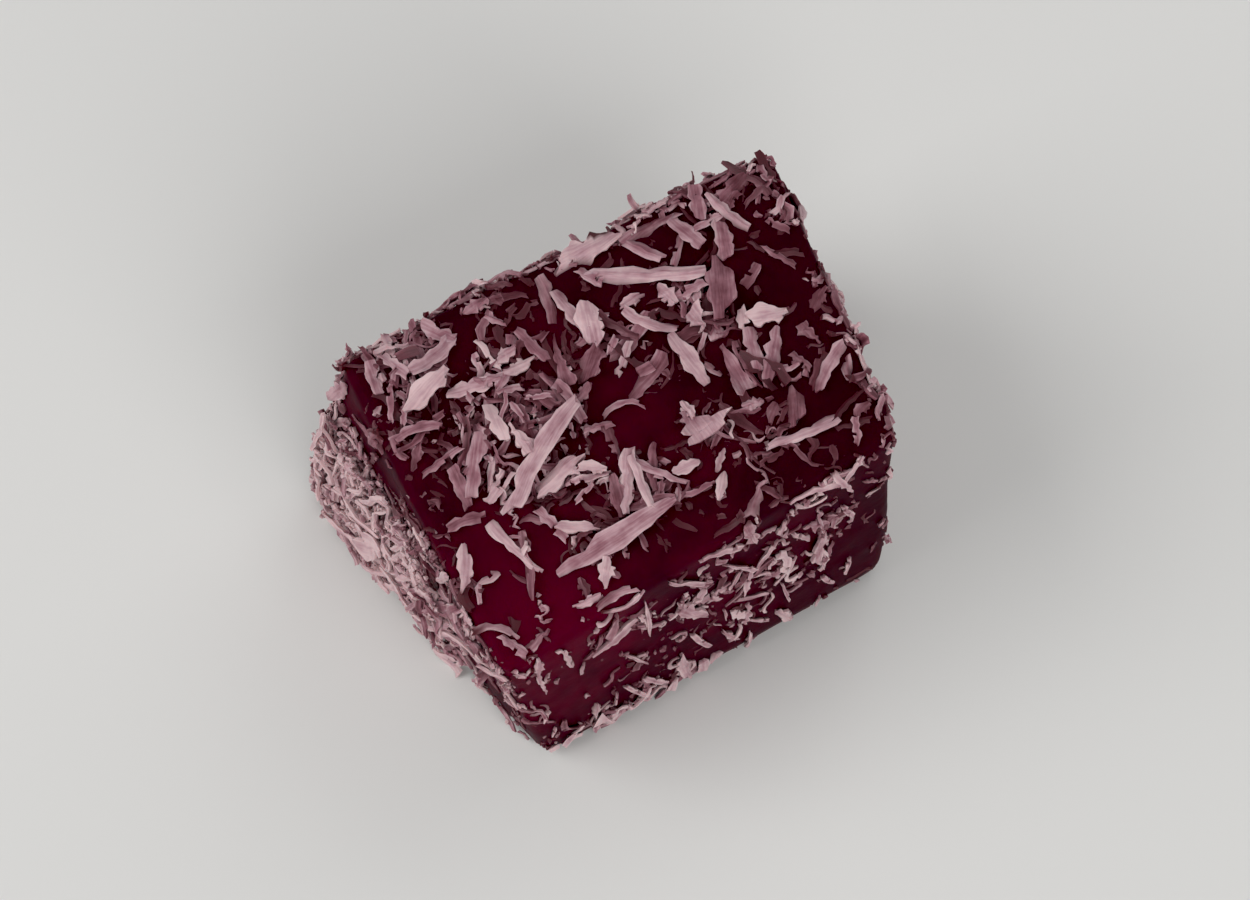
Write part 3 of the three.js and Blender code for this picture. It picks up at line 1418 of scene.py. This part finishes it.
# Shreds whose place, turn, outline and size were read from the photograph, for each side
# that shows. Five found no room at an edge and were moved away from it: the flake at 2.9, 10.2 on
# the top, the strip at 10.6, 20.8 on the front and the strips at 4.6, 7.0 and 11.2 on the left
TOP_CHOSEN = (
    Laid(SLIVER, -5.9, -9.0, 0, 9.3, 1.36, 0.3),
    Laid(SPLINTER, -5.8, -10.1, 75, 0.9, 0.32, 0.35),
    Laid(SPLINTER, -4.4, -10.3, 85, 1.4, 0.32, 0.4),
    Laid(FLAKE, -7.6, -10.7, 50, 1.7, 0.96, 0.05),
    Laid(SPEAR, -3.3, -6.0, -125, 4.6, 1.28, 0.1),
    Laid(STRIP, -2.5, -6.6, -98, 4, 0.56, 0.1),
    Laid(SPEAR, -1.1, -6.6, -55, 4, 0.72, 0.3, 0.5),
    Laid(SLIVER, -4.4, -6.5, 75, 3, 0.96, 0.6),
    Laid(SPEAR, -12.3, -6.0, -75, 4.8, 1.04, 0.1, 0.4),
    Laid(FLAKE, -15.9, -5.7, 58, 2.5, 0.96, 0.15),
    Laid(SPLINTER, -14.8, -6.95, 8, 1.5, 0.56, 0.15),
    Laid(SPLINTER, -15.9, -7.6, 60, 1.3, 0.32, 0.3),
    Laid(STRIP, -14.2, -2.8, -8, 2.8, 0.64, 0.45, -0.6),
    Laid(STRIP, -11.8, 0.2, 54, 4.6, 0.96, 0.35),
    Laid(FORK, -11.2, -1.9, 24, 2.4, 1.2, 0.1),
    Laid(STRIP, -7.5, -1.5, 31, 8.2, 1.2, 0.2, -0.3),
    Laid(FLAKE, -7.3, -3.3, 12, 3.4, 1.36, 0.1),
    Laid(FLAKE, -5.0, -4.2, -25, 1.9, 0.96, 0.0),
    Laid(STRIP, -9.1, 2.1, 84, 2.7, 0.88, 0.0),
    Laid(WEDGE, -8.2, 0.2, 92, 2.6, 1.36, 0.05),
    Laid(SPLINTER, -7.4, 1.9, 96, 1.7, 0.36, 0.35),
    Laid(FLAKE, -12.0, 6.3, 16, 3.4, 1.36, 0.0),
    Laid(STRIP, -9.4, 5.3, -18, 2.8, 0.8, 0.2),
    Laid(STRIP, -8.1, 6.2, 72, 2.4, 0.48, 0.25, 0.8),
    Laid(STRIP, -10.4, 8.5, 16, 4.2, 0.8, 0.3, 0.6),
    Laid(SPEAR, -12.7, 10.3, -22, 2.4, 0.72, 0.1),
    Laid(STRIP, -14.8, 9.1, 78, 2.4, 0.8, 0.3),
    Laid(STRIP, -13.2, 9.0, -68, 2.2, 0.72, 0.25),
    Laid(SPLINTER, -15.7, 7.0, 40, 0.7, 0.4, 0.15),
    Laid(STRIP, -14.7, 6.9, 62, 2.3, 0.4, 0.4),
    Laid(STRIP, -14.2, 5.9, 56, 1.7, 0.36, 0.4),
    Laid(STRIP, -14.1, 4.3, -14, 3.2, 0.64, 0.5, -0.7),
    Laid(STRIP, -13.7, 1.6, 5, 3, 0.48, 0.45),
    Laid(FLAKE, -5.9, 6.2, 5, 1.4, 0.8, 0.25),
    Laid(FLAKE, -5.8, 4.9, 3, 2.1, 0.88, 0.15),
    Laid(SPLINTER, -7.1, 3.7, -6, 1.7, 0.48, 0.25),
    Laid(STRIP, -5.6, 2.3, -28, 1.7, 0.32, 0.35),
    Laid(WEDGE, -3.0, 3.8, 74, 3.6, 1.28, 0.55),
    Laid(FLAKE, -0.9, 2.8, 42, 2.6, 1.44, 0.55),
    Laid(STRIP, -1.4, 8.4, 78, 3.6, 0.8, 0.35, 0.5),
    Laid(STRIP, -0.5, 7.0, 97, 3.4, 0.8, 0.2),
    Laid(FLAKE, 0.3, 5.4, 72, 3, 1.36, 0.15),
    Laid(STRIP, -3.9, 0.9, 94, 3.4, 0.64, 0.35, 0.5),
    Laid(FLAKE, -2.7, 1.2, 20, 1.5, 0.96, 0.4),
    Laid(STRIP, -3.0, -1.5, -12, 2, 0.48, 0.45),
    Laid(STRIP, -2.6, -2.6, 78, 2.2, 0.72, 0.5),
    Laid(STRIP, -0.8, -1.1, -20, 3.2, 0.4, 0.4, -1.7),
    Laid(SPLINTER, -6.2, -5.2, 12, 1.5, 0.36, 0.3),
    Laid(STRIP, -9.2, -5.9, -76, 2.8, 0.64, 0.4),
    Laid(FLAKE, -7.9, -6.9, -32, 2.4, 0.88, 0.1),
    Laid(FLAKE, -9.7, -11.8, -8, 1.8, 0.72, 0.2),
    Laid(FLAKE, -9.5, -10.8, 80, 1.4, 0.88, 0.65),
    Laid(STRIP, -7.9, -12.5, -6, 3, 0.56, 0.35, -0.8),
    Laid(SPLINTER, -13.0, -7.8, -66, 1.5, 0.28, 0.6),
    Laid(STRIP, -16.2, -10.4, -42, 3.4, 0.48, 0.35, -1.5),
    Laid(STRIP, -15.7, -11.9, -64, 2.1, 0.64, 0.35),
    Laid(WEDGE, -13.9, -12.3, 15, 1.8, 0.96, 0.35),
    Laid(SLIVER, 0.7, -7.2, -2, 2.1, 0.88, 0.15),
    Laid(SLIVER, 3.0, -7.9, 43, 1.8, 0.52, 0.15),
    Laid(SLIVER, 2.1, -9.6, 50, 2.2, 0.68, 0.05),
    Laid(CRUMB, 4.2, -8.1, 0, 0.6, 0.4, 0.2),
    Laid(WEDGE, 2.8, -4.9, 92, 2.6, 3.36, 0.2),
    Laid(FLAKE, 2.9, -3.6, 88, 1.5, 0.96, 0.05),
    Laid(SLIVER, 7.0, -5.5, -12, 1.6, 0.72, 0.25),
    Laid(FLAKE, 9.4, -7.1, 62, 2.4, 1.2, 0.5),
    Laid(FLAKE, 7.9, -6.8, 42, 1.5, 0.8, 0.5),
    Laid(SPEAR, 8.9, -9.2, 173, 5.2, 1.2, 0.2),
    Laid(STRIP, 13.0, -5.8, 33, 3.9, 0.72, 0.3, -0.5),
    Laid(SPLINTER, 14.0, -6.5, 68, 1.7, 0.64, 0.4),
    Laid(WEDGE, 13.1, -3.0, -82, 2, 1.04, 0.45),
    Laid(STRIP, 11.5, -4.4, -70, 1.7, 0.48, 0.4),
    Laid(SPLINTER, 10.5, -4.4, -6, 1.4, 0.48, 0.3),
    Laid(SLIVER, 9.9, -3.2, 51, 4.6, 0.96, 0.38),
    Laid(STRIP, 9.1, -1.9, 70, 3.2, 0.88, 0.32),
    Laid(WEDGE, 7.2, -2.5, 86, 3.8, 1.68, 0.4),
    Laid(FLAKE, 11.2, -0.4, -20, 2.4, 1.36, 0.0),
    Laid(SPLINTER, 9.6, 0.3, 68, 1.5, 0.64, 0.05),
    Laid(SLIVER, 4.9, -0.4, -84, 4.4, 1.36, 0.2),
    Laid(SPLINTER, 6.0, -1.8, -65, 1.4, 0.48, 0.35),
    Laid(WEDGE, 6.7, 1.6, -88, 1.9, 1.52, 0.15),
    Laid(STRIP, 3.9, 3.4, -50, 4, 0.64, 0.25, 0.9),
    Laid(FLAKE, 3.6, 5.4, 8, 1.6, 0.72, 0.3),
    Laid(FLAKE, 5.9, 4.5, -78, 1.8, 1.04, 0.2),
    Laid(STRIP, 7.4, 4.0, -9, 2.4, 0.72, 0.4),
    Laid(FLAKE, 9.4, 3.0, 64, 3.8, 1.68, 0.55),
    Laid(STRIP, 11.8, 2.9, 30, 1.9, 0.72, 0.5),
    Laid(STRIP, 5.7, 6.5, -30, 7.8, 0.95, 0.15, 0.15),
    Laid(STRIP, 2.0, 8.4, -62, 1.9, 0.72, 0.3),
    Laid(STRIP, 8.3, 7.1, 48, 2.3, 0.48, 0.3),
    Laid(STRIP, 9.4, 7.9, -74, 3, 0.96, 0.3),
    Laid(STRIP, 7.6, 9.6, 3, 4, 0.8, 0.45, -0.4),
    Laid(STRIP, 5.9, 9.0, -60, 4.4, 0.8, 0.3, 0.3),
    Laid(FLAKE, 2.9, 10.2, 4, 4.2, 1.92, 0.1),
    Laid(STRIP, 11.0, 7.7, -3, 2.1, 0.48, 0.35),
    Laid(STRIP, 11.4, 6.1, 70, 2.7, 0.96, 0.4),
    Laid(STRIP, 12.8, 7.7, -72, 3.6, 0.64, 0.15, 0.4),
    Laid(STRIP, 11.3, 9.6, 68, 2.6, 0.88, 0.45),
    Laid(FLAKE, 14.0, 9.2, 20, 2.6, 1.2, 0.6),
    Laid(STRIP, 14.2, 3.1, -64, 2.5, 0.4, 0.5),
    Laid(STRIP, 15.3, 5.2, -55, 1.7, 0.4, 0.55),
    Laid(FLAKE, 14.9, -1.0, 40, 1.6, 0.96, 0.6),
    Laid(FLAKE, 13.3, -9.8, 20, 1.4, 0.88, 0.55),
    Laid(STRIP, 12.1, -10.9, 62, 1.7, 0.48, 0.4),
    Laid(WEDGE, 3.8, -11.6, 40, 2.6, 1.2, 0.25),
    Laid(STRIP, 1.0, 1.9, 42, 2.3, 0.48, 0.15),
    Laid(SPLINTER, 0.9, 3.2, 42, 1.3, 0.4, 0.35),
    Laid(CRUMB, 1.9, 0.5, 0, 1, 0.72, 0.5),
    Laid(STRIP, -9.2, 9.9, -56, 2.4, 0.88, 0.3),
    Laid(FLAKE, -5.9, 10.3, 10, 1.8, 0.96, 0.45),
    Laid(STRIP, -5.3, 8.8, -52, 1.5, 0.4, 0.35),
    Laid(STRIP, -4.0, 6.0, -76, 3, 0.64, 0.5),
    Laid(STRIP, -13.4, -0.6, 84, 2.8, 0.72, 0.5),
)

FRONT_CHOSEN = (
    Laid(SPLINTER, 12.5, 15.0, 5, 1.2, 0.37, 0.09),
    Laid(FLAKE, 12.2, 17.2, -40, 1.4, 0.44, 0.29),
    Laid(STRIP, 10.5, 5.4, 78, 1.9, 0.33, 0.07),
    Laid(STRIP, 8.9, 4.8, -65, 1.9, 0.37, 0.24),
    Laid(SPLINTER, 8.2, 1.6, 80, 1.3, 0.29, 0.11),
    Laid(FLAKE, 8.1, 10.9, 80, 3.1, 0.96, 0.24),
    Laid(SPLINTER, 8.4, 8.0, -80, 1.2, 0.19, 0.16),
    Laid(STRIP, 5.3, 10.0, 64, 3.1, 0.37, 0.14),
    Laid(STRIP, 5.4, 6.6, -80, 3.1, 0.22, 0.24),
    Laid(STRIP, 2.7, 8.7, -30, 2.9, 0.33, 0.19),
    Laid(SPLINTER, 0.5, 8.2, -85, 1.5, 0.19, 0.16),
    Laid(FLAKE, -2.2, 12.1, -58, 3.6, 1.0, 0.27),
    Laid(STRIP, -2.6, 16.9, -52, 4.5, 0.52, 0.19),
    Laid(STRIP, 0.1, 19.3, -16, 3.1, 0.4, 0.21, -0.7),
    Laid(SLIVER, 2.7, 18.5, -78, 2.2, 0.26, 0.14),
    Laid(SLIVER, -5.9, 15.0, -87, 5.8, 0.29, 0.09),
    Laid(STRIP, -7.8, 19.0, 0, 3.1, 0.37, 0.21, 1.2),
    Laid(FLAKE, -8.4, 14.7, 30, 2.9, 0.67, 0.21),
    Laid(SLIVER, -6.8, 9.2, -60, 3.4, 0.29, 0.21),
    Laid(FLAKE, -14.6, 17.0, 80, 1.7, 0.55, 0.21),
    Laid(SPEAR, -14.4, 13.6, -80, 3.6, 0.44, 0.14),
    Laid(STRIP, -12.3, 15.6, -78, 3.3, 0.37, 0.11),
    Laid(SPLINTER, -11.1, 12.3, 80, 1.3, 0.29, 0.24),
    Laid(SPLINTER, -14.2, 7.8, 70, 1.2, 0.26, 0.09),
    Laid(SPLINTER, -13.6, 4.6, 80, 1.2, 0.19, 0.09),
    Laid(FLAKE, -10.1, 4.5, 80, 1.5, 0.52, 0.04),
    Laid(STRIP, -8.5, 4.6, 84, 1.5, 0.22, 0.19),
    Laid(STRIP, -6.8, 3.8, -62, 3.6, 0.33, 0.16),
    Laid(STRIP, -5.2, 3.6, -58, 3.4, 0.37, 0.16),
    Laid(FLAKE, -2.9, 3.2, -80, 3.4, 1.03, 0.11),
    Laid(STRIP, -1.5, 6.2, -68, 3.6, 0.4, 0.19),
    Laid(FLAKE, 0.9, 4.2, -65, 2.4, 0.52, 0.19),
    Laid(STRIP, 3.1, 4.5, -48, 2.6, 0.29, 0.19),
    Laid(FLAKE, 5.4, 2.7, -66, 2.8, 0.7, 0.07),
    Laid(STRIP, 2.4, 2.0, 86, 2.8, 0.22, 0.11),
    Laid(STRIP, 1.7, 14.7, -52, 3.6, 0.4, 0.14),
    Laid(STRIP, 3.8, 14.5, 52, 2.6, 0.29, 0.14),
    Laid(FLAKE, 0.3, 12.9, 0, 1.3, 0.4, 0.19),
    Laid(STRIP, 1.3, 12.9, 56, 1.7, 0.29, 0.19),
    Laid(STRIP, 6.6, 14.3, -62, 2.8, 0.4, 0.11),
    Laid(STRIP, 8.2, 14.6, -82, 2.2, 0.22, 0.21),
    Laid(STRIP, 10.4, 14.4, -68, 2.2, 0.37, 0.24),
    Laid(FLAKE, 5.0, 17.6, 75, 1.5, 0.55, 0.19),
    Laid(SPEAR, 7.6, 20.6, 172, 4.0, 0.52, 0.16, 0.5),
    Laid(SPEAR, 9.8, 20.0, -72, 3.6, 0.67, 0.14),
    Laid(STRIP, 10.6, 20.8, 35, 2.1, 0.37, 0.16),
    Laid(CRUMB, -13.5, 1.2, 0, 0.7, 0.5, 0.04),
    Laid(CRUMB, -12.4, 1.9, 40, 1.1, 0.6, 0.09),
    Laid(THREAD, -11.6, 2.9, 70, 1.9, 0.25, 0.14, 2.2),
    Laid(CRUMB, -10.0, 2.6, 20, 1.2, 0.9, 0.04),
    Laid(THREAD, -8.4, 2.0, 40, 2.4, 0.28, 0.09, -2.4),
    Laid(THREAD, -6.6, 2.6, 15, 2.6, 0.28, 0.09, 2.6, 0.2),
    Laid(THREAD, -5.0, 1.3, -20, 2.4, 0.28, 0.14, -2.8, 0.2),
    Laid(CRUMB, -3.9, 1.3, 70, 0.9, 0.7, 0.04),
    Laid(THREAD, -2.7, 2.6, 0, 3.6, 0.28, 0.14, 5.0),
    Laid(CRUMB, -1.4, 1.7, 90, 1.4, 0.7, 0.14),
    Laid(CRUMB, -0.3, 1.6, 60, 1.0, 0.7, 0.14),
    Laid(THREAD, 1.4, 4.2, 60, 2.2, 0.28, 0.09, 2.0),
    Laid(SPLINTER, 2.4, 1.2, 88, 1.8, 0.3, 0.14),
)

LEFT_CHOSEN = (
    Laid(SLIVER, -11.0, 18.5, 72, 4, 1.04, 0.25),
    Laid(STRIP, 4.6, 17.6, 68, 3.4, 0.72, 0.1),
    Laid(STRIP, 7.0, 17.4, 68, 2.6, 0.72, 0.45),
    Laid(STRIP, 8.9, 15.6, 66, 6.8, 0.4, 0.4),
    Laid(STRIP, 11.2, 14.8, 64, 4.8, 0.72, 0.45),
    Laid(STRIP, -5.7, 20.6, 75, 2, 0.88, 0.5),
)

# Shreds that lie across an edge were crushed there, so they follow what is under them
CRUSHED = (0.8, 1.0)

COATINGS = {
    Side.TOP: Coating(
        fine=0.75,
        coarse=0.12,
        cover=0.36,
        pile_mm=0.7,
        stain=0.98,
        patches=(
            Patch(-10, 3, 6, 8, 0.4),
            Patch(6, 2, 4, 3, 0.3),
            Patch(0, 4, 3.5, 6, -0.4),
            Patch(6, 9, 6, 3, -0.5),
            Patch(-6, 9, 3, 3, -0.3),
            Patch(0, -3.5, 3, 2.5, -0.3),
            Patch(12, -4, 3.5, 3, -0.9),
            Patch(-13, -3, 2.5, 3, -0.4),
            Patch(-12.5, -9.5, 4.5, 3.5, -1.1),
            Patch(6, -10.5, 10, 2.2, -0.35),
            Patch(0.5, -1.5, 2.2, 2.2, -0.5),
            Patch(13, 0.5, 3, 4, -0.9),
            Patch(-6, -3.5, 3.5, 2.5, 0.35),
            Patch(-13.6, -0.5, 2, 3, -0.3),
        ),
        chosen=TOP_CHOSEN,
    ),
    Side.FRONT: Coating(
        fine=0.38,
        coarse=0.0,
        threads=2.0,
        cover=0.34,
        clump_depth=0.5,
        pile_mm=0.25,
        stain=0.58,
        stand=0.02,
        size=0.76,
        bow=1.0,
        droop=0.15,
        patches=(
            Patch(-11, 15, 4, 6, -0.25),
            Patch(0, 12.5, 5, 2.5, 0.12),
            Patch(1, 18, 4, 3, -0.2),
            Patch(-8, 1.6, 9, 1.8, 0.35),
            Patch(-11.5, 8.5, 4, 4, -0.7),
            Patch(6, 1.5, 8, 3.5, -1.6),
            Patch(5, 18, 3, 3, -0.2),
            Patch(13, 9, 1.8, 8, -0.8),
        ),
        chosen=FRONT_CHOSEN,
    ),
    Side.LEFT: Coating(
        fine=2.2,
        coarse=1.4,
        threads=0.6,
        size=0.85,
        bow=0.6,
        cover=0.68,
        clump_depth=0.5,
        pile_mm=1.15,
        stain=0.56,
        stand=0.18,
        patches=(
            Patch(-6, 20, 11, 5, -1.1),
            Patch(9.5, 7, 4.5, 7, -1.6),
            Patch(13, 3, 3, 3, -1.2),
            Patch(-6, 9.5, 9, 5, 0.9),
            Patch(11, 1, 2, 1.5, 0.6),
        ),
        chosen=LEFT_CHOSEN,
    ),
    Side.RIGHT: Coating(
        cover=0.55, stain=0.8, hold=0.85, patches=(Patch(-12.5, 11, 3, 14, -0.9),)
    ),
    Side.BACK: Coating(cover=0.6, stain=0.75),
    Side.TOP_FRONT: Coating(
        fine=0.5, coarse=0.1, cover=0.4, stain=0.75, limp=CRUSHED, patches=(Patch(-12, 6, 6, 60, -0.5),)
    ),
    Side.TOP_BACK: Coating(coarse=0.4, cover=0.55, stain=0.8, limp=CRUSHED),
    Side.TOP_LEFT: Coating(
        fine=0.8, coarse=0.1, cover=0.3, stain=0.6, limp=CRUSHED, patches=(Patch(9, 0, 5, 60, 0.6),)
    ),
    Side.TOP_RIGHT: Coating(fine=0.6, coarse=0.2, cover=0.45, stain=0.85, limp=CRUSHED),
    Side.FRONT_LEFT: Coating(
        fine=0.3, coarse=0.0, cover=0.3, stain=0.5, limp=CRUSHED, patches=(Patch(0, 8, 60, 5, -0.4),)
    ),
    Side.BACK_LEFT: Coating(coarse=0.5, cover=0.6, stain=0.65, limp=CRUSHED),
    Side.BACK_RIGHT: Coating(coarse=0.4, cover=0.5, stain=0.75, limp=CRUSHED),
    Side.BASE: Coating(
        fine=0.7, coarse=0.6, cover=0.5, pile_mm=0.25, stain=0.8, stand=0.0, hold=1.0
    ),
}


@dataclass(frozen=True)
class Lamp:
    """A square soft lamp that faces the candy.

    Its direction is in degrees, its distance and size are in metres and its power is in watts.
    """

    name: str
    azimuth: float
    elevation: float
    distance: float
    size: float
    power: float
    tint: str = "FFFFFF"

    def hang(self) -> None:
        """Adds the lamp."""
        place = direction(self.azimuth, self.elevation) * self.distance
        bpy.ops.object.light_add(type="AREA", location=place)
        lamp = bpy.context.active_object
        lamp.name = self.name
        lamp.data.size = self.size
        lamp.data.energy = self.power
        lamp.data.color = linear(self.tint)[:3]
        lamp.rotation_euler = (-place).to_track_quat("-Z", "Y").to_euler()


def direction(azimuth: float, elevation: float) -> Vector:
    """The direction from the candy at an azimuth from the front and an elevation, in degrees."""
    turn, rise = math.radians(azimuth), math.radians(elevation)
    return Vector(
        (math.sin(turn) * math.cos(rise), -math.cos(turn) * math.cos(rise), math.sin(rise))
    )


@dataclass
class Studio:
    """The pale floor, the soft lights and the camera.

    The camera is `distance` metres from the middle of the candy, which fills the share `filled`
    of the height of a picture of `wide_px` by `high_px`. `black` is the film's darkest level.
    """

    azimuth: float = -30.0
    elevation: float = 65.0
    distance: float = 0.58
    wide_px: int = 1250
    high_px: int = 900
    filled: float = 0.76
    sensor_mm: float = 36.0
    nearest_m: float = 0.01
    floor_m: float = 4.0
    room: str = "E2E3E6"
    room_strength: float = 0.34
    black: float = 0.0042
    lamps: tuple[Lamp, ...] = (
        Lamp("window", -110, 40, 1.2, 0.9, 7.7),
        Lamp("right_fill", 115, 42, 1.2, 0.9, 2.4),
        Lamp("front_fill", -5, 34, 1.2, 0.9, 7.8),
    )

    def build(self) -> None:
        """Sets the studio up."""
        self.add_floor()
        for lamp in self.lamps:
            lamp.hang()
        self.add_room()
        self.add_camera()
        self.set_film()

    def add_floor(self) -> None:
        """Lays the floor under the candy."""
        bpy.ops.object.select_all(action="DESELECT")
        bpy.ops.mesh.primitive_plane_add(size=self.floor_m)
        floor = bpy.context.active_object
        floor.name = "floor"
        dress(floor, FloorFinish().material())

    def add_room(self) -> None:
        """Fills the room with weak even light, so that the skin reflects a dark ceiling."""
        world = bpy.data.worlds.new("room")
        world.use_nodes = True
        room = world.node_tree.nodes["Background"]
        room.inputs["Color"].default_value = linear(self.room)
        room.inputs["Strength"].default_value = self.room_strength
        bpy.context.scene.world = world

    def set_film(self) -> None:
        """Sets the tone curve, in which the deepest shadows go black as in the photograph."""
        film = bpy.context.scene.view_settings
        film.view_transform = "Standard"
        film.use_curve_mapping = True
        film.curve_mapping.black_level = (self.black, self.black, self.black)
        film.curve_mapping.update()

    def add_camera(self) -> None:
        """Puts the camera at the photograph's angle, with the candy filling most of the height."""
        low, high = (Vector(corner) for corner in CAD_BOX)
        middle, size = (low + high) / 2, high - low
        back = direction(self.azimuth, self.elevation)
        bpy.ops.object.camera_add(location=middle + back * self.distance)
        camera = bpy.context.active_object
        camera.rotation_euler = (-back).to_track_quat("-Z", "Y").to_euler()
        across = size.x * abs(back.x) + size.y * abs(back.y)
        rise = math.radians(self.elevation)
        seen = size.z * math.cos(rise) + across * math.tan(rise)
        camera.data.sensor_width = self.sensor_mm
        camera.data.lens = (
            self.sensor_mm * self.distance * self.filled * self.high_px / (seen * self.wide_px)
        )
        camera.data.clip_start = self.nearest_m
        bpy.context.scene.camera = camera


def main() -> None:
    """Builds the candy and the studio around it."""
    logging.basicConfig(level=logging.INFO, format="%(message)s")
    Studio().build()
    jelly = Jelly().build()
    log.info("%s: %d faces", jelly.name, len(jelly.data.polygons))
    for piece in Coat(jelly).build(COATINGS):
        log.info("%s: %d faces", piece.name, len(piece.data.polygons))


if __name__ == "__main__":
    main()
